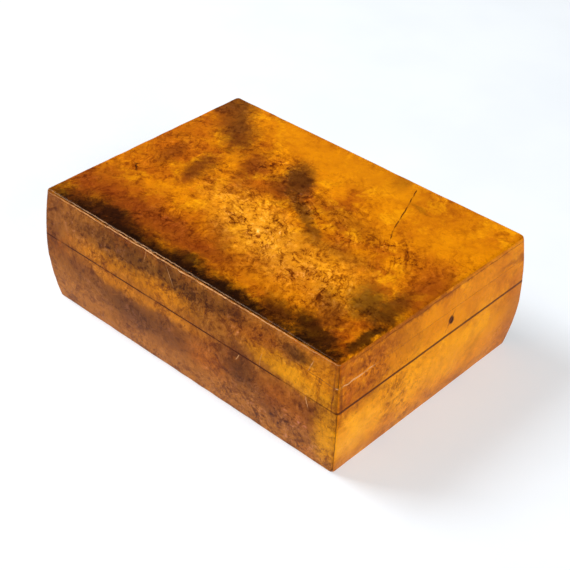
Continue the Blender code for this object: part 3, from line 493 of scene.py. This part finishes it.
def burl(name, on_face, stains_and_shade, base, slants, figure=0.5, lines=(), seed=0.0, busy=(), calm=(),
         streaky=0.75, grain=1.7, bend=10, seam=0.15, seam_shade_width=0.46, cloudy=0.8, whorl=None):
    """Varnished burl: clouds of colour, streaks and threads, the face's stain patches with any painted shade
    among them, flecks, glue lines, and painted shade along the lid's seam.

    slants are the directions of the broad streaks and of each set of threads, in degrees. busy lists where
    the threads are strongest and calm where the wood is smooth: (u, v, half length, half width, degrees).
    grain is how wide the broad streaks are and bend how far they curve, in millimetres. seam is the least
    strength, in its patches, of the painted shade along the lid's seam, and seam_shade_width how wide that
    painted shade is.
    whorl is the point of the top that a further set of threads runs round, and the radius it does so at: (u,
    v, radius).
    """
    s = Shade(name)
    turns = [on_face(0, 0, 1, 1, -degrees)[1] for degrees in slants]
    long_way = lengthwise(on_face, STREAK_STRETCH)
    swirl = s.warped(SWIRL, seed)
    low, middle, high = base
    colour = s.mix(s.ramp(s.noise(*CLOUDS, place=swirl, seed=seed), 0.38, 0.6), low, middle)
    colour = s.mix(s.ramp(s.noise(*GLINTS, place=swirl, seed=seed + 7), 0.5, 0.66, 0, 0.8), colour, high)

    ragged = s.warped(RAGGED, seed)
    tears = s.streaks(ragged, turns[0], TEAR_STRETCH, *TEARS, seed + 5)
    torn = s.scale_by(s.math("SUBTRACT", tears, 0.5), TEAR_REACH)
    for u, v, long_, wide, degrees, tint, strength, soft in stains_and_shade:
        amount = s.blob(ragged, *on_face(u, v, long_, wide, degrees), soft, torn)
        colour = s.mix(s.scale_by(amount, strength), colour, tint)

    # Where the wood is calm
    wandering = s.warped(WANDER, seed)
    rough_part = 1.0
    for u, v, long_, wide, degrees in calm:
        smooth = s.blob(wandering, *on_face(u, v, long_, wide, degrees), PATCH_SOFTNESS)
        rough_part = s.math("MULTIPLY", s.math("SUBTRACT", 1.0, s.scale_by(smooth, CALMING)), rough_part)

    # Broad soft streaks
    drifting = s.warped(((BEND_SIZE, bend, BEND_SEED), *DRIFT), seed)
    streak = s.streaks(drifting, turns[0], long_way, grain, STREAK_DETAIL, STREAK_ROUGHNESS, seed + 27)
    spread = s.both(s.ramp(s.noise(*STREAK_PATCHES, seed=seed + 28), 0.36, 0.6, 0.25, 1.0), rough_part)
    colour = s.mix(s.both(s.ramp(streak, 0.52, 0.36, 0, streaky), spread), colour, STREAK_SHADE, "MULTIPLY")
    colour = s.mix(s.both(s.ramp(streak, 0.52, 0.66, 0, streaky), spread), colour, STREAK_LIGHT, "MULTIPLY")

    # Where the figure shows
    shown = s.ramp(s.noise(*FIGURE_PATCHES, seed=seed + 40), 0.4, 0.66, 0.08, 0.6)
    for u, v, long_, wide, degrees in busy:
        patch = s.blob(wandering, *on_face(u, v, long_, wide, degrees), PATCH_SOFTNESS)
        shown = s.math("MAXIMUM", shown, patch)
    figured = s.both(s.scale_by(shown, figure), rough_part)

    # Middle-sized light and shade over everything, warm in the shade
    mottle = s.noise(*MOTTLE, place=swirl, seed=seed + 8)
    shade = s.both(s.ramp(mottle, 0.5, 0.34, 0, cloudy), rough_part)
    light = s.both(s.ramp(mottle, 0.52, 0.68, 0, 0.4), rough_part)
    colour = s.mix(shade, colour, MOTTLE_SHADE, "MULTIPLY")
    colour = s.mix(light, colour, MOTTLE_LIGHT, "DODGE")

    # Curls: dark commas and bright scales, a millimetre or two across
    curl = s.noise(*CURL, place=s.warped(CURLED, seed), seed=seed + 22)
    colour = s.mix(s.both(s.ramp(curl, 0.47, 0.36), figured), colour, CURL_SHADE, "MULTIPLY")
    light = s.both(s.ramp(curl, 0.54, 0.66), s.scale_by(figured, 0.7))
    colour = s.mix(light, colour, CURL_LIGHT, "MULTIPLY")

    # Threads: sets that cross, bending as they go
    wavy = s.warped(WAVY, seed)
    threads = [s.streaks(wavy, turn, long_way, *THREAD, seed + 31 + k) for k, turn in enumerate(turns[1:])]
    if whorl:
        u, v, radius = whorl
        rippled = s.warped(RIPPLED, seed)
        threads.append(s.whorl(rippled, (u, v, TOP_Z), radius, WHORL_STRETCH, *WHORL_THREAD, seed + 37))
    height = curl
    for number, thread in enumerate(threads):
        patch = s.ramp(s.noise(*THREAD_PATCHES, seed=seed + 35 + number), 0.42, 0.56, 0.1, 1.0)
        weight = s.both(figured, patch)
        colour = s.mix(s.both(s.ramp(thread, 0.48, 0.35), weight), colour, CURL_SHADE, "MULTIPLY")
        light = s.both(s.ramp(thread, 0.53, 0.66), s.scale_by(weight, 0.9))
        colour = s.mix(light, colour, CURL_LIGHT, "MULTIPLY")
        height = s.math("ADD", height, s.both(thread, weight))

    specks = s.ramp(s.cells(SPECK_SIZE, s.warped(SPECKLED, seed)), 0.17, 0.06)
    chosen = s.ramp(s.noise(*SPECK_PATCHES, seed=seed + 51), 0.5, 0.58)
    colour = s.mix(s.scale_by(s.both(specks, chosen, rough_part), 0.7), colour, BROWN)

    steady = s.warped(STEADY, seed)
    fading = s.ramp(s.noise(*LINE_FADES, seed=seed + 62), 0.36, 0.55, 0.35, 1.0)
    for where, tint, strength, soft in lines:
        amount = s.scale_by(s.blob(steady, *where, soft), strength)
        colour = s.mix(s.both(amount, fading), colour, tint)

    # Painted shade along the lid's seam, and the glue line where two sides meet
    axis = s.node("ShaderNodeSeparateXYZ")
    s.put(axis.inputs[0], s.warped(SEAM_WANDER, seed))
    patchy = s.ramp(s.noise(*SEAM_SHADE_PATCHES, seed=SEAM_SHADE_SEED), 0.38, 0.56, seam, 1.0)
    near = s.math("ABSOLUTE", s.math("SUBTRACT", axis.outputs["Z"], SEAM_Z))
    seam_shade = s.both(s.ramp(near, SEAM_SHADE_CORE, seam_shade_width, 1.0, 0.0), patchy)
    end, side = (s.ramp(far, GLUE_CORE, GLUE_LINE, 1.0, 0.0) for far in surface_distance(s))
    glue = s.both(end, side, s.ramp(s.noise(*GLUE_PATCHES, seed=GLUE_SEED), 0.35, 0.55, 0.4, 0.95))
    colour = s.mix(s.math("MAXIMUM", seam_shade, glue), colour, SEAM_TINT)
    s.put(s.shader.inputs["Base Color"], colour)

    # Varnish: patchy gloss, fine scratches, and a skin that follows the figure
    gloss = s.ramp(s.noise(*GLOSS_PATCHES, seed=seed + 90), 0.3, 0.7, 0.22, 0.4)
    slant = on_face(0, 0, 1, 1, SCRATCH_SLANT)[1]
    fine = lengthwise(on_face, SCRATCH_STRETCH)
    hair = s.streaks(s.warped(SCRATCH_DRIFT, seed), slant, fine, *SCRATCHES, seed + 92)
    scratch = s.ramp(hair, 0.72, 0.78)
    gloss = s.math("ADD", gloss, s.scale_by(scratch, 0.25), clamp=True)
    s.put(s.shader.inputs["Roughness"], gloss)
    s.shader.inputs["Specular IOR Level"].default_value = VARNISH_SPECULAR
    s.shader.inputs["Specular Tint"].default_value = VARNISH_TINT
    s.shader.inputs["Coat Weight"].default_value = COAT_WEIGHT
    s.shader.inputs["Coat Roughness"].default_value = COAT_ROUGHNESS
    under = s.bump(s.noise(*UNDULATION, seed=seed + 95), UNDULATION_DEPTH)
    under = s.bump(height, FIGURE_DEPTH, under)
    s.put(s.shader.inputs["Normal"], s.bump(s.scale_by(scratch, -1), SCRATCH_DEPTH, under))
    return s.material


BOARD_DRIFT = ((30, 3, 0),)
BOARD_STRETCH = (0.06, 1, 1)
RINGS = (2.4, 4, 0.6)
PORES = (0.4, 2, 0.5)
BOARD_CLOUDS = (25, 3, 0.5)
RING_DEPTH = 0.05
TARNISH = (3.2, 5, 0.65)
TARNISH_GLOSS = (1.5, 4, 0.6)
PITS = (0.35, 2, 0.5)
DRAW_LINES = (0.18, 2, 0.5)
DRAW_STRETCH = (0.08, 1, 1)
PIT_COLOUR = (0.05, 0.03, 0.015)
PIT_DEPTH = 0.012


def bare_wood(name, seed):
    """Unvarnished straight-grained board."""
    s = Shade(name)
    long_ = s.turned(s.warped(BOARD_DRIFT, seed), (0, 0, 0), BOARD_STRETCH)
    rings = s.noise(*RINGS, place=long_, seed=seed)
    pores = s.ramp(s.noise(*PORES, place=long_, seed=seed + 1), 0.62, 0.72)
    colour = s.mix(s.ramp(rings, 0.35, 0.66), RAW_DARK, RAW_WOOD)
    colour = s.mix(s.ramp(s.noise(*BOARD_CLOUDS, seed=seed + 2), 0.35, 0.7, 0.0, 0.35), colour, TAN)
    colour = s.mix(s.math("MULTIPLY", pores, 0.5), colour, BROWN)
    s.put(s.shader.inputs["Base Color"], colour)
    s.put(s.shader.inputs["Roughness"], s.ramp(rings, 0.3, 0.7, 0.5, 0.7))
    s.put(s.shader.inputs["Normal"], s.bump(s.math("ADD", rings, pores), RING_DEPTH))
    return s.material


def metal(name, bright, dull, roughness, seed):
    """Handled metal: tarnish in patches, fine draw lines, a little pitting."""
    s = Shade(name)
    patch = s.ramp(s.noise(*TARNISH, seed=seed), 0.4, 0.66)
    colour = s.mix(patch, bright, dull)
    pits = s.ramp(s.noise(*PITS, seed=seed + 1), 0.64, 0.72)
    colour = s.mix(s.math("MULTIPLY", pits, 0.6), colour, PIT_COLOUR)
    s.put(s.shader.inputs["Base Color"], colour)
    s.shader.inputs["Metallic"].default_value = 1
    worn = s.noise(*TARNISH_GLOSS, seed=seed + 2)
    s.put(s.shader.inputs["Roughness"], s.ramp(worn, 0.3, 0.7, roughness - 0.08, roughness + 0.16))
    drawn = s.noise(*DRAW_LINES, place=s.turned(s.place, (0, 0, 0), DRAW_STRETCH), seed=seed + 3)
    s.put(s.shader.inputs["Normal"], s.bump(s.math("SUBTRACT", drawn, pits), PIT_DEPTH))
    return s.material


# Pieces


SIDES = ("front", "right", "back", "left")
SURFACE = ["lid_top", "right_strip", "left_strip"]
SURFACE += [side + part for side in SIDES for part in ("_wall", "_rail")]

# Wear, in millimetres
SKIN = 0.7
ARRIS_REACH = 2.2
WAVE_SIZE, WAVE_DEPTH = 17, 0.08
DENT_SIZE, DENT_DEPTH, DENT_SHARE, DENT_SHIFT = 4.5, 0.26, 0.1, 40
CELLS = ((0, 5.0, 30), (1, 5.0, 22), (2, 4.0, 13))
SAME_POINT = 1e-6

# What wear and swelling closes up: (axis, middle, width in the frame, width that is left), in millimetres
STRIP_SEAM_Z = 40
SHEET_SEAM_Z = 47.75
STRIP_FACE_X = 66
CLOSED_UP = [
    (2, SEAM_Z, 0.3, 0.06),
    (2, STRIP_SEAM_Z, 0.3, 0.06),
    (2, SHEET_SEAM_Z, 0.1, 0.03),
    (0, STRIP_FACE_X, 0.3, 0.08),
]
ON_THE_GAP = 0.02


def close_up(bm):
    """Moves the faces on both sides of each running gap and glue gap towards each other."""
    for axis, middle, wide, left in CLOSED_UP:
        for vert in bm.verts:
            sign = -1 if vert.co[axis] < 0 else 1
            off = vert.co[axis] * sign / MM - middle
            if abs(abs(off) - wide / 2) < ON_THE_GAP:
                vert.co[axis] = sign * (middle + math.copysign(left / 2, off)) * MM


def bow(z):
    """How far the ends and sides lie inside their widest line at a height, in millimetres."""
    above = max(z - WIDEST_Z, 0) / (TOP_Z - WIDEST_Z)
    below = max(WIDEST_Z - z, 0) / WIDEST_Z
    return TOP_BOW * above**TOP_POWER + BASE_BOW * below**BASE_POWER


def depths_of(place):
    """How far a point in metres lies under the ends, the sides and the top, in millimetres."""
    x, y, z = place / MM
    return [END_X - bow(z) - abs(x), SIDE_Y - bow(z) - abs(y), TOP_Z - z]


def weather(bm):
    """Cuts the skin into small cells and wears it inwards: a slight wave, and dents along the arrises."""
    for axis, step, count in CELLS:
        direction = Vector([axis == k for k in range(3)])
        for index in range(count):
            place = index * step if axis == 2 else (index - count / 2 + 0.5) * step
            whole = bm.verts[:] + bm.edges[:] + bm.faces[:]
            bmesh.ops.bisect_plane(bm, geom=whole, dist=SAME_POINT, plane_co=direction * place * MM,
                                   plane_no=direction)
    for vert in bm.verts:
        x, y, z = vert.co / MM
        depths = depths_of(vert.co)
        if min(depths) > SKIN:
            continue
        out = Vector((math.copysign(1, x), math.copysign(1, y), 1))
        out = Vector([o if depth < SKIN else 0 for o, depth in zip(out, depths)]).normalized()
        nearness = math.exp(-(sorted((*depths, z))[1] / ARRIS_REACH) ** 2)
        wave = 0.5 + 0.5 * noise.noise(Vector((x, y, z)) / WAVE_SIZE)
        dent = max(0.0, noise.noise(Vector((x + DENT_SHIFT, y, z)) / DENT_SIZE) + DENT_SHARE)
        vert.co -= out * (WAVE_DEPTH * wave + DENT_DEPTH * dent * nearness) * MM


FLAT_ANGLE = math.radians(0.4)
EDGE_ANGLE = math.radians(32)
EDGE_STEPS = 2


def softened(node, bevel_mm):
    """A finer copy of a CAD node with worn edges, in its place on its body."""
    mesh = NODES[node].data.copy()
    mesh.materials.clear()
    bm = bmesh.new()
    bm.from_mesh(mesh)
    bmesh.ops.remove_doubles(bm, verts=bm.verts, dist=SAME_POINT)
    if node in SURFACE:
        close_up(bm)
    bmesh.ops.dissolve_limit(bm, angle_limit=FLAT_ANGLE, verts=bm.verts, edges=bm.edges)
    if node in SURFACE:
        weather(bm)
    for face in bm.faces:
        face.smooth = True
    bm.to_mesh(mesh)
    bm.free()
    piece = bpy.data.objects.new("look_" + node, mesh)
    bpy.context.scene.collection.objects.link(piece)
    bevel = piece.modifiers.new("worn_edges", "BEVEL")
    bevel.width = bevel_mm * MM
    bevel.segments = EDGE_STEPS
    bevel.limit_method = "ANGLE"
    bevel.angle_limit = EDGE_ANGLE
    smooth = piece.modifiers.new("flat_faces_stay_flat", "WEIGHTED_NORMAL")
    smooth.mode = "FACE_AREA"
    smooth.weight = 100
    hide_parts(node)
    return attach(piece, BODY_OF[node])


CRACK_WIDTH, CRACK_STRENGTH, CRACK_SOFTNESS, CRACK_OVERLAP = 0.28, 0.9, 0.4, 0.3


def crack(points):
    """A line of short marks along points of the top."""
    marks = []
    for (u1, v1), (u2, v2) in zip(points, points[1:]):
        degrees = math.degrees(math.atan2(v2 - v1, u2 - u1))
        middle = (u1 + u2) / 2, (v1 + v2) / 2
        half = math.dist((u1, v1), (u2, v2)) / 2 + CRACK_OVERLAP
        place = on_top(*middle, half, CRACK_WIDTH, degrees)
        marks.append((place, SEAM_TINT, CRACK_STRENGTH, CRACK_SOFTNESS))
    return marks


WARM = (AMBER, GOLD, BRIGHT)
MUDDY = (BROWN, TAN, AMBER)
TOP_LINES = TOP_MARKS + crack(TOP_CRACK)
FACES = {
    "top": burl("burl_top", on_top, TOP_STAINS, WARM, (-50, -48), 1.0, TOP_LINES, 1.0, BUSY_TOP, CALM_TOP,
                streaky=0.8, bend=16, whorl=WHORL),
    "front": burl("burl_front", on_front, FRONT_STAINS, MUDDY, (65, 70, 25), 0.9, FRONT_MARKS, 21.0,
                  BUSY_FRONT),
    # The right end's painted shade along the lid's seam is wider and stronger
    "right": burl("burl_right", on_right, RIGHT_STAINS_AND_SHADE, WARM, (-40, 55, -60), 0.7, RIGHT_MARKS, 41.0,
                  BUSY_RIGHT, CALM_RIGHT, streaky=0.45, grain=2.8, bend=14, seam=0.9, seam_shade_width=0.8,
                  cloudy=0.4),
    "back": burl("burl_back", on_back, BACK_STAINS, MUDDY, (50, 40, -20), 0.8, seed=61.0, busy=BUSY_FRONT),
    "left": burl("burl_left", on_left, LEFT_STAINS_AND_SHADE, WARM, (40, 30, -50), 0.8, seed=81.0, busy=BUSY_RIGHT,
                 streaky=0.5, grain=2.2),
}
ARRIS_SLOPE = 0.35


def facing(normal, arris):
    """The side of the box that a normal looks out of. The lid's rounded arris belongs to the top."""
    if arris and normal.z > ARRIS_SLOPE:
        return "top"
    if abs(normal.x) > abs(normal.y):
        return "right" if normal.x > 0 else "left"
    return "back" if normal.y > 0 else "front"


BRASS = (0.66, 0.42, 0.13), (0.24, 0.13, 0.045), 0.3
STEEL = (0.42, 0.40, 0.37), (0.16, 0.13, 0.11), 0.36
FITTING_EDGE, WALL_EDGE, RAIL_EDGE, STRIP_EDGE = 0.08, 0.16, 0.1, 0.06

inner_wood = bare_wood("bare_inner", 13.0)
boards = {"base_panel": bare_wood("bare_base", 5.0), "lid_board": bare_wood("bare_board", 9.0)}
brass = metal("aged_brass", *BRASS, 3.0)
steel = metal("dull_steel", *STEEL, 6.0)


def edge_of(node):
    """The width of a piece's worn edges, in millimetres."""
    if node not in SURFACE and node not in boards:
        return FITTING_EDGE
    return STRIP_EDGE if "strip" in node else RAIL_EDGE if "rail" in node else WALL_EDGE


def clothe(piece, node):
    """Gives each face of a burled piece the wood of its side, and bare wood where it lies under the skin."""
    wanted = []
    for face in piece.data.polygons:
        hidden = min(depths_of(face.center)) > SKIN
        wanted.append("inside" if hidden else facing(face.normal, node == "lid_top"))
    used = sorted(set(wanted))
    for side in used:
        piece.data.materials.append(inner_wood if side == "inside" else FACES[side])
    for face, side in zip(piece.data.polygons, wanted):
        face.material_index = used.index(side)


for node in NODES:
    piece = softened(node, edge_of(node))
    if node in SURFACE:
        clothe(piece, node)
    elif node in boards:
        piece.data.materials.append(boards[node])
    else:
        hinge_pin = node.startswith("hinge") and node.endswith("_pin")
        iron = hinge_pin or node in ("lock_bolt", "bolt_spring")
        piece.data.materials.append(steel if iron else brass)

# Floor, light and camera

FLOOR_REACH = 8.0
PAPER_DARK, PAPER_LIGHT = (0.53, 0.58, 0.63), (0.57, 0.62, 0.67)
GLOW_FROM, GLOW_TO, GLOW_NEAR, GLOW_FAR = 350, 1600, 0.42, 0.95
PAPER_ROUGHNESS = 0.7

floor_mesh = bpy.data.meshes.new("floor")
corners = [(x * FLOOR_REACH, y * FLOOR_REACH, 0) for x, y in ((-1, -1), (1, -1), (1, 1), (-1, 1))]
floor_mesh.from_pydata(corners, [], [(0, 1, 2, 3)])
floor = bpy.data.objects.new("floor", floor_mesh)
bpy.context.scene.collection.objects.link(floor)
paper = Shade("paper")
fibres = paper.ramp(paper.noise(60, 3), 0.3, 0.7)
paper.put(paper.shader.inputs["Base Color"], paper.mix(fibres, PAPER_DARK, PAPER_LIGHT))
paper.shader.inputs["Emission Color"].default_value = (1, 1, 1, 1)
afar = paper.node("ShaderNodeVectorMath", operation="LENGTH")
paper.put(afar.inputs[0], paper.place)
glow = paper.ramp(afar.outputs["Value"], GLOW_FROM, GLOW_TO, GLOW_NEAR, GLOW_FAR)
paper.put(paper.shader.inputs["Emission Strength"], glow)
paper.shader.inputs["Roughness"].default_value = PAPER_ROUGHNESS
floor_mesh.materials.append(paper.material)


LAMP_AIM = (0, 0, 0.02)
WORLD_STRENGTH = 0.18


def lamp(name, place, size, watts):
    """A square soft box that looks at the box. Places and sizes in metres."""
    light = bpy.data.lights.new(name, "AREA")
    light.shape = "RECTANGLE"
    light.size = light.size_y = size
    light.energy = watts
    holder = bpy.data.objects.new(name, light)
    holder.location = place
    holder.rotation_euler = (Vector(LAMP_AIM) - Vector(place)).to_track_quat("-Z", "Y").to_euler()
    bpy.context.scene.collection.objects.link(holder)


lamp("key", (-0.75, -0.3, 0.95), 0.6, 14)
lamp("fill", (1.0, -0.25, 0.6), 0.5, 7)

world = bpy.data.worlds.new("studio")
world.use_nodes = True
world.node_tree.nodes["Background"].inputs["Color"].default_value = (1, 1, 1, 1)
world.node_tree.nodes["Background"].inputs["Strength"].default_value = WORLD_STRENGTH
bpy.context.scene.world = world
bpy.context.scene.view_settings.view_transform = "Standard"

EYE = Vector((276.8, -304.9, 320.0)) * MM
AIM = Vector((9.69, -7.67, 25.0)) * MM
ROLL = 0.0316
SENSOR, LENS = 36.0, 83.90526
NEAREST = 0.01
camera = bpy.data.cameras.new("camera")
camera.sensor_width = SENSOR
camera.lens = LENS
camera.clip_start = NEAREST
holder = bpy.data.objects.new("camera", camera)
look = (AIM - EYE).to_track_quat("-Z", "Y")
holder.location = EYE
holder.rotation_mode = "QUATERNION"
holder.rotation_quaternion = Quaternion((AIM - EYE).normalized(), -ROLL) @ look
bpy.context.scene.collection.objects.link(holder)
bpy.context.scene.camera = holder
